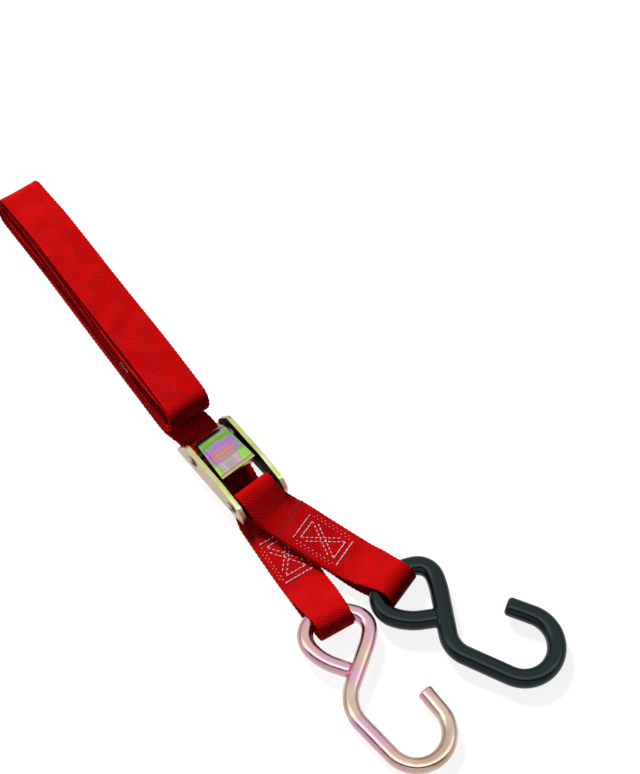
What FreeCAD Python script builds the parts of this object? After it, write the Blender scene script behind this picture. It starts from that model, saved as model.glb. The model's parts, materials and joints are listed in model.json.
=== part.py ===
import FreeCAD, Part
import math
import os

from FreeCAD import Vector

# Light cam-buckle tie-down, 25 mm webbing, lying flat with its loose strap coiled up.
# Row frame, millimetres: +X along the buckle towards the hooks, +Y to the left, +Z up.
# The origin is on the underside of the buckle's base plate, midway across its front edge.

# ---------------------------------------------------------------- webbing
WEB = 1.4                 # thickness of one layer
WEB_W = 25.4              # width
PACK = 3 * WEB            # three layers sewn together
GAP = 0.3                 # clearance between pieces that move past each other

# ---------------------------------------------------------------- buckle frame
PLATE = 2.6               # sheet steel
EAR_IN = 13.1             # inner face of each ear, from the middle
EAR_OUT = EAR_IN + PLATE
REAR_X = -31.0
BASE_X = 0.6              # front edge of the base plate
RISE_X = 6.0              # from here the ears' lower edges rise towards their tips
TIP_X = 28.5
EAR_Z = 20.5
BEND_R = 3.4              # outside radius of the bend between base and ear

# ---------------------------------------------------------------- pins
CAM_X, CAM_Z, CAM_R = -16.0, 13.2, 2.5
ANCHOR_X, ANCHOR_Z, ANCHOR_R = 18.5, 10.8, 3.0
HEAD_R = 3.6
HEAD_H = 0.8

# ---------------------------------------------------------------- cam lever
BORE_R = CAM_R + 0.06
DRUM_R = 7.2              # round back that rolls over the pin
DRUM_W = 9.6              # half width
TOOTH_R = 8.58            # tip radius of the teeth at rest, straight down
TEETH, FIRST_TOOTH, TOOTH_STEP = 7, -30.0, 10.0     # how many, and their angles
TOOTH_DROP = 1.0
TOOTH_GROWTH = 0.012      # radius gained per degree, so the bite grows as the lever lifts
THUMB_Z = 19.8            # top of the thumb plate
THUMB_X = 5.6             # its front lip
THUMB_T = 1.9
LIP_T = 3.4
LIP_LEN = 3.0
FRONT_W = 11.3            # half width at the lip

# ---------------------------------------------------------------- lever spring
WIRE_R, COIL_R, COIL_STEP, COILS = 0.5, 3.6, 0.93, 3
UPPER_LEG, LOWER_LEG = 12.5, 9.0

# ---------------------------------------------------------------- long strap
STRAP_Z = PLATE + GAP     # underside of the strap over the base plate
BUNDLE_NEAR, BUNDLE_FAR = -39.5, -226.0
BUNDLE_H = 20.0
BUNDLE_LEAN = 4.5         # the coil's top leans this far to the left
BUNDLE_YAW = -3.6
NEAR_Y = -2.2             # middle of the coil at its near end
HEM_X, HEM_LEN = -90.5, 7.0    # the sewn hem of the loose end, seen at the coil's side
HEM_Z = (8.6, 9.8)

# ---------------------------------------------------------------- hooks
STEEL_R = 4.3
COAT = 0.9
COAT_R = STEEL_R + COAT
EYE = [("arc", -27, 32), ("arc", -100, 11.4), ("arc", -54, 25), ("arc", -78, 9.5),
       ("arc", -11, 48), ("line", 12.5)]
EYE_START = 232.0         # heading of the cut end that butts against the shank
STEEL_BUTT, COAT_BUTT = 6.6, 6.4    # straight length of that end
BAR_APEX = (-34.4, -2.9)  # middle of the eye's bar, in the hook's own frame
# each hook: where its eye closes (x, y), its pull axis, the height of its bar, the bends
# from the eye to the open end, and the straight length of that end
PLATED = {"at": (131.3, -21.2), "yaw": -21.0, "bar_z": 7.3, "tip": 14.0,
          "bends": [("line", 7.5), ("arc", 63, 20.5), ("line", 22), ("arc", 175, 17.3)]}
COATED = {"at": (137.0, 33.8), "yaw": 7.5, "bar_z": 7.95, "tip": 15.0,
          "bends": [("line", 11), ("arc", 56, 15), ("line", 25.3), ("arc", 184, 17.9)]}


# ================================================================ helpers
def xz(x, z, y):
    return Vector(x, y, z)


def prism(points, y0, y1):
    """A side outline in XZ, given as points or (x, z, radius) corners, extruded over y0..y1."""
    wire = outline([(p[0], p[1], p[2] if len(p) > 2 else 0.0) for p in points], y0)
    return Part.Face(wire).extrude(Vector(0, y1 - y0, 0))


def outline(corners, y):
    """A closed wire in the plane Y = y, with a tangent arc at each corner that has a radius."""
    edges, ends = [], []
    count = len(corners)
    for i, (x, z, radius) in enumerate(corners):
        here = xz(x, z, y)
        back = (xz(*corners[i - 1][:2], y) - here).normalize()
        ahead = (xz(*corners[(i + 1) % count][:2], y) - here).normalize()
        if radius <= 0:
            ends.append((here, here))
            continue
        half = back.getAngle(ahead) / 2
        reach = radius / math.tan(half)
        middle = here + (back + ahead).normalize() * (radius / math.sin(half) - radius)
        first, last = here + back * reach, here + ahead * reach
        ends.append((first, last))
        edges.append(Part.Arc(first, middle, last).toShape())
    for i in range(count):
        start, end = ends[i][1], ends[(i + 1) % count][0]
        if start.distanceToPoint(end) > 1e-6:
            edges.append(Part.LineSegment(start, end).toShape())
    return Part.Wire(Part.__sortEdges__(edges))


def plan(points, z0, z1):
    """A plan outline in XY, extruded over z0..z1."""
    ring = [Vector(x, y, z0) for x, y in points]
    return Part.Face(Part.makePolygon(ring + ring[:1])).extrude(Vector(0, 0, z1 - z0))


def rod(radius, x, z, y0, y1):
    return Part.makeCylinder(radius, y1 - y0, Vector(x, y0, z), Vector(0, 1, 0))


def teardrop(radius, centre, tip, y0, y1):
    """A round end with two tangent sides that meet at a tip, extruded over y0..y1."""
    (cx, cz), (tx, tz) = centre, tip
    reach = math.hypot(tx - cx, tz - cz)
    heading = math.atan2(tz - cz, tx - cx)
    spread = math.acos(radius / reach)
    sides = [xz(cx + radius * math.cos(heading + s * spread),
                cz + radius * math.sin(heading + s * spread), y0) for s in (-1, 1)]
    back = xz(cx - radius * math.cos(heading), cz - radius * math.sin(heading), y0)
    point = xz(tx, tz, y0)
    wire = Part.Wire([Part.Arc(sides[0], back, sides[1]).toShape(),
                      Part.LineSegment(sides[1], point).toShape(),
                      Part.LineSegment(point, sides[0]).toShape()])
    return Part.Face(wire).extrude(Vector(0, y1 - y0, 0))


def strap_loop(radius, centre, tip, y0, y1):
    """Outside and inside of a webbing loop whose two sides meet at the tip of its opening."""
    reach = math.hypot(tip[0] - centre[0], tip[1] - centre[1])
    grow = (radius + WEB) / radius
    far = (centre[0] + (tip[0] - centre[0]) * grow, centre[1] + (tip[1] - centre[1]) * grow)
    assert reach > radius
    return teardrop(radius + WEB, centre, far, y0, y1), teardrop(radius, centre, tip, y0, y1)


def moved(shape, x, y):
    copy = shape.copy()
    copy.translate(Vector(x, y, 0))
    return copy


def turned(shape, degrees, x=0.0, y=0.0):
    copy = shape.copy()
    copy.rotate(Vector(x, y, 0), Vector(0, 0, 1), degrees)
    return copy


# ================================================================ buckle frame
def ear_outline():
    return [(REAR_X, 0), (REAR_X, 6, 7), (-22.5, EAR_Z, 5), (8, EAR_Z, 24), (24.5, 17, 5),
            (TIP_X, 10.5, 5), (TIP_X, 4.8, 1), (RISE_X, 0)]


def buckle_frame():
    """A stamped channel: a base plate and two ears, with a hole in each ear for each pin."""
    length = TIP_X - REAR_X
    block = Part.makeBox(length, 2 * EAR_OUT, EAR_Z, Vector(REAR_X, -EAR_OUT, 0))
    low = [e for e in block.Edges if e.Length > length - 1 and e.CenterOfMass.z < 0.1]
    block = block.makeFillet(BEND_R, low)
    hollow = Part.makeBox(length + 2, 2 * EAR_IN, EAR_Z, Vector(REAR_X - 1, -EAR_IN, PLATE))
    low = [e for e in hollow.Edges if e.Length > length and e.CenterOfMass.z < PLATE + 0.1]
    hollow = hollow.makeFillet(BEND_R - PLATE, low)
    channel = block.cut(hollow)
    mouth = Part.makeBox(TIP_X - BASE_X + 1, 2 * EAR_IN, PLATE + 2, Vector(BASE_X, -EAR_IN, -1))
    channel = channel.cut(mouth)
    channel = channel.common(prism(ear_outline(), -EAR_OUT - 1, EAR_OUT + 1))
    for x, z, radius in ((CAM_X, CAM_Z, CAM_R), (ANCHOR_X, ANCHOR_Z, ANCHOR_R)):
        channel = channel.cut(rod(radius, x, z, -EAR_OUT - 1, EAR_OUT + 1))
    return channel.removeSplitter()


def riveted_pin(x, z, radius):
    """A pin through both ears, with a low peened head on each end."""
    pin = rod(radius, x, z, -EAR_OUT, EAR_OUT)
    for side in (-1, 1):
        head = Part.makeCone(HEAD_R, HEAD_R - 1.1, HEAD_H, Vector(x, side * EAR_OUT, z),
                             Vector(0, side, 0))
        pin = pin.fuse(head)
    return pin.removeSplitter()


# ================================================================ cam lever
def cam_profile():
    """Toothed lobe below the pin: the teeth bite less as the lever is pressed down."""
    points = []
    for i in range(TEETH):
        for part, drop in ((0.0, TOOTH_DROP), (0.75, 0.0)):
            angle = FIRST_TOOTH + (i + part) * TOOTH_STEP
            reach = TOOTH_R + TOOTH_GROWTH * max(angle, 0.0) - drop
            turn = math.radians(angle)
            points.append((CAM_X - reach * math.sin(turn), CAM_Z - reach * math.cos(turn)))
    return points


def cam_lever():
    """Thumb plate with a folded lip, rolled back over the pin into a toothed cam."""
    rear = CAM_X + 0.5
    plate = prism([(rear, THUMB_Z - THUMB_T - 1.2), (rear, THUMB_Z), (THUMB_X, THUMB_Z, 1.0),
                   (THUMB_X, THUMB_Z - LIP_T, 1.0), (THUMB_X - LIP_LEN, THUMB_Z - LIP_T, 0.6),
                   (THUMB_X - LIP_LEN, THUMB_Z - THUMB_T)], -FRONT_W, FRONT_W)
    taper = plan([(CAM_X - 9, -DRUM_W), (CAM_X, -DRUM_W), (THUMB_X, -FRONT_W),
                  (THUMB_X + 1, -FRONT_W), (THUMB_X + 1, FRONT_W), (THUMB_X, FRONT_W),
                  (CAM_X, DRUM_W), (CAM_X - 9, DRUM_W)], 0, THUMB_Z + 1)
    web = prism([(CAM_X, CAM_Z), (CAM_X, THUMB_Z - 0.5), (THUMB_X - 6, THUMB_Z - THUMB_T + 0.2),
                 (CAM_X + 6, CAM_Z + 1.5, 4)], -DRUM_W, DRUM_W)
    lobe = prism([(CAM_X, CAM_Z)] + cam_profile(), -DRUM_W, DRUM_W)
    drum = rod(DRUM_R, CAM_X, CAM_Z, -DRUM_W, DRUM_W)
    body = plate.common(taper).fuse([drum, lobe, web])
    body = body.cut(rod(BORE_R, CAM_X, CAM_Z, -DRUM_W - 1, DRUM_W + 1))
    above = Part.makeBox(2 * DRUM_R, 2 * DRUM_W + 2, DRUM_R,
                         Vector(CAM_X - DRUM_R, -DRUM_W - 1, THUMB_Z))
    return body.cut(above).removeSplitter()


def cam_spring():
    """Torsion spring around the pin, beside the drum, with a leg under the thumb plate."""
    side = DRUM_W + WIRE_R + 0.15
    rings = [Part.makeTorus(COIL_R, WIRE_R, Vector(CAM_X, side + i * COIL_STEP, CAM_Z),
                            Vector(0, 1, 0)) for i in range(COILS)]
    far = side + (COILS - 1) * COIL_STEP
    upper = Part.makeCylinder(WIRE_R, UPPER_LEG, Vector(CAM_X, side, CAM_Z + COIL_R),
                              Vector(1, 0, 0.13))
    lower = Part.makeCylinder(WIRE_R, LOWER_LEG, Vector(CAM_X, far, CAM_Z - COIL_R),
                              Vector(-1, 0, -0.35))
    return rings[0].fuse(rings[1:] + [upper, lower]).removeSplitter()


# ================================================================ straps
ANCHOR_PLAN = [(12, -11.3), (26, -12.4), (31, -11.4), (70, 0.4), (73, 2.3), (86, 6.0),
               (103, 12.4), (126, 19.1), (126, 40.7), (103, 33.9), (86, 31.4), (34, 16.0),
               (30.5, 12.6), (12, 12.6)]
LONG_PLAN = [(-64, -14.4), (-45, -14.2), (-31, -12.8), (18.5, -12.8), (31, -18.4), (60, -21.6),
             (87, -24.4), (97, -24.2), (116, -26.2), (116, -6.8), (104, -4.9), (97, -2.1),
             (87, 0.2), (72, 1.4), (60, 4.1), (30, 7.3), (20, 8.5), (8, 9.2), (2, 10.6),
             (-14, 12.2), (-31, 12.1), (-45, 10.7), (-64, 10.4)]
ANCHOR_FOLD_YAW = 12.0
LONG_FOLD_YAW = -13.0
COATED_LOOP_R = 7.0       # inside radius of the fold around each eye's bar
PLATED_LOOP_R = 6.3
FOLD_BEYOND = 3.2         # the fold's centre beyond the bar's middle


def bar_middle(hook):
    turn = math.radians(hook["yaw"])
    u, v = BAR_APEX
    return (hook["at"][0] + u * math.cos(turn) - v * math.sin(turn),
            hook["at"][1] + u * math.sin(turn) + v * math.cos(turn))


def hook_end(hook, fold_yaw, radius, opening, pack):
    """The sewn end of a strap: a pack of layers that opens into the loop around a hook's bar.

    It is drawn in XZ with the bar's middle at x = 0, then turned and moved to the bar."""
    centre = (FOLD_BEYOND, WEB + radius)
    outside, inside = strap_loop(radius, centre, (-opening, WEB + 0.2), -60, 60)
    layers = prism(pack, -60, 60)
    shape = outside.fuse(layers).cut(inside)
    x, y = bar_middle(hook)
    shape.translate(Vector(x, y, 0))
    return turned(shape, fold_yaw, x, y), turned(moved(inside, x, y), fold_yaw, x, y)


def anchor_strap():
    """Short fixed strap: one loop on the anchor pin, one on the coated hook's eye."""
    around, pin_hole = strap_loop(ANCHOR_R + GAP, (ANCHOR_X, ANCHOR_Z), (38, 6.9), -60, 60)
    sewn = prism([(36, 4.6), (60, 3.5), (60, 3.5 + PACK), (36, 4.6 + PACK)], -60, 60)
    near = around.common(Part.makeBox(30, 80, 40, Vector(10, -40, 0))).fuse(sewn).cut(pin_hole)
    pack = [(-62, 3.55), (-27, 3.2), (-16, 0), (-8, 0), (-8, WEB), (-18, 8.8), (-25, 7.5),
            (-31, 3.3 + PACK), (-62, 3.55 + PACK)]
    far, hole = hook_end(COATED, ANCHOR_FOLD_YAW, COATED_LOOP_R, 27.0, pack)
    solid = near.fuse(far).cut(hole)
    return solid.common(plan(ANCHOR_PLAN, -1, 40)).removeSplitter()


def bundle():
    """The loose strap, wound into a long flat coil: one closed solid of its outer shape."""
    end_r = BUNDLE_H / 2 - 0.2
    body = prism([(BUNDLE_FAR, 0, end_r), (BUNDLE_FAR, BUNDLE_H, end_r),
                  (BUNDLE_NEAR, BUNDLE_H, end_r), (BUNDLE_NEAR, 0, end_r)], -60, 60)
    left, right = NEAR_Y - WEB_W / 2, NEAR_Y + WEB_W / 2
    slab = [(left, 0), (right, 0), (right + BUNDLE_LEAN, BUNDLE_H), (left + BUNDLE_LEAN, BUNDLE_H)]
    ring = [Vector(BUNDLE_FAR, y, z) for y, z in slab]
    length = BUNDLE_NEAR - BUNDLE_FAR
    lean = Part.Face(Part.makePolygon(ring + ring[:1])).extrude(Vector(length, 0, 0))
    return turned(body.common(lean), BUNDLE_YAW, BUNDLE_NEAR, NEAR_Y)


def long_strap():
    """Adjusting strap: hook loop, the run through the buckle, and the coiled loose end."""
    top = STRAP_Z + WEB
    run = prism([(-64, 0), (-50, 0, 8), (-42, STRAP_Z, 8), (4, STRAP_Z, 8), (13, 0, 8),
                 (44, 0), (44, WEB), (13.3, WEB, 7), (4.3, top, 9), (-42.3, top, 10),
                 (-50.3, WEB, 6), (-64, WEB)], -60, 60)
    pack = [(-62, 0), (-10, 0), (-10, WEB), (-20, 4.6), (-24, 2 * WEB), (-62, 2 * WEB)]
    end, hole = hook_end(PLATED, LONG_FOLD_YAW, PLATED_LOOP_R, 25.0, pack)
    flat = run.fuse(end).cut(hole).common(plan(LONG_PLAN, -1, 40))
    return flat.fuse(bundle()).removeSplitter()


# ================================================================ stitching
THREAD = 0.8
STITCH_H = 0.3
# corners of each sewn box in plan
ANCHOR_BOX = [(47.5, 15.5), (74.5, 23.6), (79.5, 8.1), (52.5, 0.0)]
LONG_BOX = [(44.5, 1.6), (70.0, -1.1), (68.3, -18.8), (42.8, -16.1)]


def thread_bar(a, b, z0, z1):
    """A run of stitches from a to b, lying on cloth whose height goes from z0 to z1."""
    start, end = Vector(a[0], a[1], z0), Vector(b[0], b[1], z1)
    along = (end - start).normalize()
    side = along.cross(Vector(0, 0, 1)).normalize() * (THREAD / 2)
    ring = [start - side, end - side, end + side, start + side]
    return Part.Face(Part.makePolygon(ring + ring[:1])).extrude(Vector(0, 0, STITCH_H))


def box_x(corners, height):
    """Box-X stitching through four corners; height(x, y) is the top of the cloth there."""
    ends = [(corners[i], corners[(i + 1) % 4]) for i in range(4)]
    ends += [(corners[0], corners[2]), (corners[1], corners[3])]
    runs = [thread_bar(a, b, height(*a), height(*b)) for a, b in ends]
    return runs[0].fuse(runs[1:]).removeSplitter()


def top_of(cloth, x, y):
    """Height of the highest cloth above a place in plan."""
    probe = Part.makeLine(Vector(x, y, -5), Vector(x, y, 60))
    return probe.common(cloth).BoundBox.ZMax


def anchor_strap_stitching(cloth):
    return box_x(ANCHOR_BOX, lambda x, y: top_of(cloth, x, y))


def long_strap_stitching():
    return box_x(LONG_BOX, lambda x, y: 2 * WEB)


def tail_stitching():
    """The sewn hem of the coil's loose end, which shows at the side of the coil."""
    left, (z0, z1) = NEAR_Y - WEB_W / 2, HEM_Z
    lean = BUNDLE_LEAN / BUNDLE_H
    slab = [(left + z0 * lean, z0), (left + z1 * lean, z1),
            (left + z1 * lean - STITCH_H, z1), (left + z0 * lean - STITCH_H, z0)]
    ring = [Vector(HEM_X, y, z) for y, z in slab]
    hem = Part.Face(Part.makePolygon(ring + ring[:1])).extrude(Vector(HEM_LEN, 0, 0))
    return turned(hem, BUNDLE_YAW, BUNDLE_NEAR, NEAR_Y)


# ================================================================ hooks
def trace(legs, start, heading):
    """Edges of a flat path of straight legs and arcs; a positive arc turns left."""
    edges, here, facing = [], Vector(*start, 0), heading
    for leg in legs:
        ahead = Vector(math.cos(math.radians(facing)), math.sin(math.radians(facing)), 0)
        if leg[0] == "line":
            there = here + ahead * leg[1]
            edges.append(Part.LineSegment(here, there).toShape())
        else:
            turn, radius = leg[1], leg[2]
            left = Vector(-ahead.y, ahead.x, 0) * math.copysign(1, turn)
            centre = here + left * radius
            spoke = here - centre
            middle, there = [centre + FreeCAD.Rotation(Vector(0, 0, 1), turn * k).multVec(spoke)
                             for k in (0.5, 1.0)]
            edges.append(Part.Arc(here, middle, there).toShape())
            facing += turn
        here = there
    return edges, here


def hook_bar(hook, radius, butt, shorter=0.0):
    """Round wire swept along a hook's centre line, in its own frame: the eye closes at the
    origin, and its cut end starts with a straight of the length butt."""
    legs = [("line", butt)] + EYE
    end = trace(legs, (0, 0), EYE_START)[1]
    legs += hook["bends"] + [("line", hook["tip"] - shorter)]
    edges = trace(legs, (-end.x, -end.y), EYE_START)[0]
    first = edges[0].Vertexes[0].Point
    along = edges[0].tangentAt(edges[0].FirstParameter)
    ring = Part.Wire([Part.makeCircle(radius, first, along)])
    return Part.Wire(edges).makePipeShell([ring], True, False)


def end_rim(shape, radius):
    """The rim circle at the hook's open end."""
    flats = [f for f in shape.Faces if isinstance(f.Surface, Part.Plane)]
    centre = max((f.CenterOfMass for f in flats), key=lambda c: c.Length)
    rims = [e for e in shape.Edges if e.Closed and abs(e.Length - 2 * math.pi * radius) < 0.01]
    return [e for e in rims if e.CenterOfMass.distanceToPoint(centre) < 0.05]


def placed(shape, hook, rest_z):
    """Lays a hook down: its bar at the loop's height, its far bend on the floor."""
    reach = 62.0
    pitch = math.degrees(math.asin((hook["bar_z"] - rest_z) / (reach - BAR_APEX[0])))
    copy = shape.copy()
    copy.rotate(Vector(BAR_APEX[0], 0, 0), Vector(0, 1, 0), pitch)
    copy.translate(Vector(0, 0, hook["bar_z"]))
    copy.rotate(Vector(0, 0, 0), Vector(0, 0, 1), hook["yaw"])
    copy.translate(Vector(*hook["at"], 0))
    return copy


def plated_hook():
    bar = hook_bar(PLATED, STEEL_R, STEEL_BUTT)
    bar = bar.makeChamfer(0.7, end_rim(bar, STEEL_R))
    return placed(bar, PLATED, STEEL_R)


def coated_hook_core():
    return placed(hook_bar(COATED, STEEL_R, COAT_BUTT - COAT, COAT), COATED, COAT_R)


def coated_hook_coating():
    skin = hook_bar(COATED, COAT_R, COAT_BUTT)
    skin = skin.makeFillet(2.2, end_rim(skin, COAT_R))
    core = hook_bar(COATED, STEEL_R, COAT_BUTT - COAT, COAT)
    return placed(skin.cut(core), COATED, COAT_R)


# ================================================================ build
def main():
    fixed_strap = anchor_strap()
    nodes = {
        "buckle_frame": buckle_frame(),
        "cam_pin": riveted_pin(CAM_X, CAM_Z, CAM_R),
        "anchor_pin": riveted_pin(ANCHOR_X, ANCHOR_Z, ANCHOR_R),
        "cam_lever": cam_lever(),
        "cam_spring": cam_spring(),
        "anchor_strap": fixed_strap,
        "anchor_strap_stitching": anchor_strap_stitching(fixed_strap),
        "long_strap": long_strap(),
        "long_strap_stitching": long_strap_stitching(),
        "tail_stitching": tail_stitching(),
        "plated_hook": plated_hook(),
        "coated_hook_core": coated_hook_core(),
        "coated_hook_coating": coated_hook_coating(),
    }
    os.makedirs("parts", exist_ok=True)
    for name, shape in nodes.items():
        box = shape.BoundBox
        print(f"{name:24s} solids {len(shape.Solids)} valid {shape.isValid()} "
              f"volume {shape.Volume:9.1f} x {box.XMin:7.1f}..{box.XMax:6.1f} "
              f"y {box.YMin:6.1f}..{box.YMax:6.1f} z {box.ZMin:5.2f}..{box.ZMax:5.2f}")
        shape.exportStep(f"parts/{name}.step")


main()
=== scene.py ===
import json
import math

import bmesh
import bpy
import numpy as np
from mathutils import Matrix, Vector


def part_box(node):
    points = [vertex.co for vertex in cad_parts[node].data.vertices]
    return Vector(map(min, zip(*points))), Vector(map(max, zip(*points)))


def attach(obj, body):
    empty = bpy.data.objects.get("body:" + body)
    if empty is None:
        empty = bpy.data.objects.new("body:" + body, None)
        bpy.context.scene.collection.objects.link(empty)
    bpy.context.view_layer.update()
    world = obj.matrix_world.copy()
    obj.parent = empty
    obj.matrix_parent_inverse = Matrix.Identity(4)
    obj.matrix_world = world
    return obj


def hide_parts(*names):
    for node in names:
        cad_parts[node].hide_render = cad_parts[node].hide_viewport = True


# Cam-buckle tie-down lying flat, its loose strap wound into a long coil.
# Lengths below are millimetres in the row frame; meshes are written in metres.

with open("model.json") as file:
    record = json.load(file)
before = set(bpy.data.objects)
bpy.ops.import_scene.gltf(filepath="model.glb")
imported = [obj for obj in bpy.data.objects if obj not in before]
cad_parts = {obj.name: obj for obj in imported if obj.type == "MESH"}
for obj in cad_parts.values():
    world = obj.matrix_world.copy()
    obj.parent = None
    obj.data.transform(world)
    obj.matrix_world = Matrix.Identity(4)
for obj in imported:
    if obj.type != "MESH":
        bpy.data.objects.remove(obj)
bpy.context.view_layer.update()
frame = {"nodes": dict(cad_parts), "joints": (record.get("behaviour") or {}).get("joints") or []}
MM = 0.001


# ---------------------------------------------------------------- places read from the frame
def box_mm(node):
    """The low and high corners of a node's box, in millimetres."""
    low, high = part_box(node)
    return np.array(low) / MM, np.array(high) / MM


joints = {j["name"]: j for j in frame["joints"]}
CAM_PIN = np.array(joints["cam_lever_press"]["pos_m"]) / MM
ANCHOR_PIN = np.array(joints["fixed_strap_swing"]["pos_m"]) / MM
EAR_OUT = box_mm("buckle_frame")[1][1]         # outer face of an ear
LEVER_FRONT = box_mm("cam_lever")[1][0]        # front edge of the thumb plate

# ---------------------------------------------------------------- webbing sizes
WEB_T = 1.34              # thickness of one layer
WEB_HALF = 12.7           # half of the 25.4 mm width
STEP = 0.62               # spacing of the cross-sections along a strap
BEAD = 2.6                # spacing of the selvedge's loops
WARP_PITCH = 1.25         # spacing of the weave's columns
PICK_PITCH = 1.55         # spacing of the picks along a column


# ================================================================ mesh helpers
def new_object(name, points, faces, smooth=True, uv=None):
    """A mesh object from points in millimetres."""
    mesh = bpy.data.meshes.new(name)
    mesh.from_pydata((np.asarray(points, float) * MM).tolist(), [], [list(f) for f in faces])
    mesh.update()
    if smooth:
        mesh.shade_smooth()
    if uv is not None:
        layer = mesh.uv_layers.new(name="Weave")
        corner = np.zeros(len(mesh.loops), np.int32)
        mesh.loops.foreach_get("vertex_index", corner)
        layer.data.foreach_set("uv", np.asarray(uv, float)[corner].ravel())
    obj = bpy.data.objects.new(name, mesh)
    bpy.context.scene.collection.objects.link(obj)
    return obj


def ring_faces(rings, around, first=0):
    """Quads between consecutive rings of points, with a cap on each end."""
    faces = []
    for i in range(rings - 1):
        a, b = first + i * around, first + (i + 1) * around
        faces += [(a + j, a + (j + 1) % around, b + (j + 1) % around, b + j)
                  for j in range(around)]
    faces.append(tuple(first + j for j in reversed(range(around))))
    last = first + (rings - 1) * around
    faces.append(tuple(last + j for j in range(around)))
    return faces


def finish_hard(obj, bevel):
    """Rounds an object's hard edges and keeps its flats flat."""
    mesh = obj.data
    bm = bmesh.new()
    bm.from_mesh(mesh)
    bmesh.ops.remove_doubles(bm, verts=bm.verts, dist=2e-6)
    bmesh.ops.dissolve_limit(bm, angle_limit=math.radians(0.6), verts=bm.verts, edges=bm.edges)
    bmesh.ops.recalc_face_normals(bm, faces=bm.faces)
    hard = [e for e in bm.edges if e.is_manifold and e.calc_face_angle() > math.radians(38)]
    bmesh.ops.bevel(bm, geom=hard, offset=bevel * MM, segments=3, profile=0.5,
                    affect="EDGES", clamp_overlap=True)
    bmesh.ops.triangulate(bm, faces=[f for f in bm.faces if len(f.verts) > 4])
    bm.to_mesh(mesh)
    bm.free()
    mesh.shade_smooth()
    mesh.set_sharp_from_angle(angle=math.radians(30))
    return obj


# ================================================================ materials
class Nodes:
    """A node tree under construction."""

    def __init__(self, tree):
        self.tree = tree
        tree.nodes.clear()

    def node(self, kind, sockets=None, **settings):
        node = self.tree.nodes.new(kind)
        for key, value in settings.items():
            setattr(node, key, value)
        for key, value in (sockets or {}).items():
            self.put(node.inputs[key], value)
        return node

    def put(self, socket, value):
        if isinstance(value, bpy.types.NodeSocket):
            self.tree.links.new(value, socket)
        else:
            socket.default_value = value

    def math(self, operation, *values):
        node = self.node("ShaderNodeMath", dict(enumerate(values)), operation=operation)
        return node.outputs[0]

    def mix(self, share, one, other):
        node = self.node("ShaderNodeMix", data_type="RGBA")
        for key, value in (("Factor_Float", share), ("A_Color", one), ("B_Color", other)):
            socket = next(s for s in node.inputs if s.identifier == key)
            self.put(socket, value if isinstance(value, (float, int, bpy.types.NodeSocket))
                     else (*value, 1.0))
        return next(s for s in node.outputs if s.identifier == "Result_Color")

    def ease(self, value, start, end, low=0.0, high=1.0, **settings):
        """Goes from low to high as a value goes from start to end, and is level beyond them."""
        sockets = dict(enumerate((value, start, end, low, high)))
        return self.node("ShaderNodeMapRange", sockets, **settings).outputs[0]

    def noise(self, vector, scale, detail=2.0, rough=0.5):
        node = self.node("ShaderNodeTexNoise", {"Scale": scale, "Detail": detail,
                                                "Roughness": rough, "Vector": vector})
        return node.outputs[0]

    def ramp(self, value, stops):
        node = self.node("ShaderNodeValToRGB", {0: value})
        elements = node.color_ramp.elements
        while len(elements) < len(stops):
            elements.new(0.5)
        for element, (position, colour) in zip(elements, stops):
            element.position = position
            element.color = (*colour, 1.0) if hasattr(colour, "__len__") else (colour,) * 3 + (1,)
        return node.outputs[0]

    def place(self, output="Object"):
        return self.node("ShaderNodeTexCoord").outputs[output]

    def split(self, vector):
        return self.node("ShaderNodeSeparateXYZ", {0: vector}).outputs

    def radius_from(self, place, x, z):
        """Distance from a line across the buckle through (x, z)."""
        here = self.split(place)
        dx, dz = self.math("SUBTRACT", here[0], x), self.math("SUBTRACT", here[2], z)
        return self.math("SQRT", self.math("ADD", self.math("MULTIPLY", dx, dx),
                                           self.math("MULTIPLY", dz, dz)))


class Shader(Nodes):
    """A material with one principled surface."""

    def __init__(self, name):
        self.material = bpy.data.materials.new(name)
        self.material.use_nodes = True
        super().__init__(self.material.node_tree)
        self.surface = self.node("ShaderNodeBsdfPrincipled")
        self.node("ShaderNodeOutputMaterial", {0: self.surface.outputs[0]})

    def set(self, **values):
        for key, value in values.items():
            self.put(self.surface.inputs[key.replace("_", " ")], value)

    def bump(self, height, distance, strength=1.0):
        node = self.node("ShaderNodeBump", {"Height": height, "Distance": distance * MM,
                                            "Strength": strength})
        self.put(self.surface.inputs["Normal"], node.outputs[0])


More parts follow.
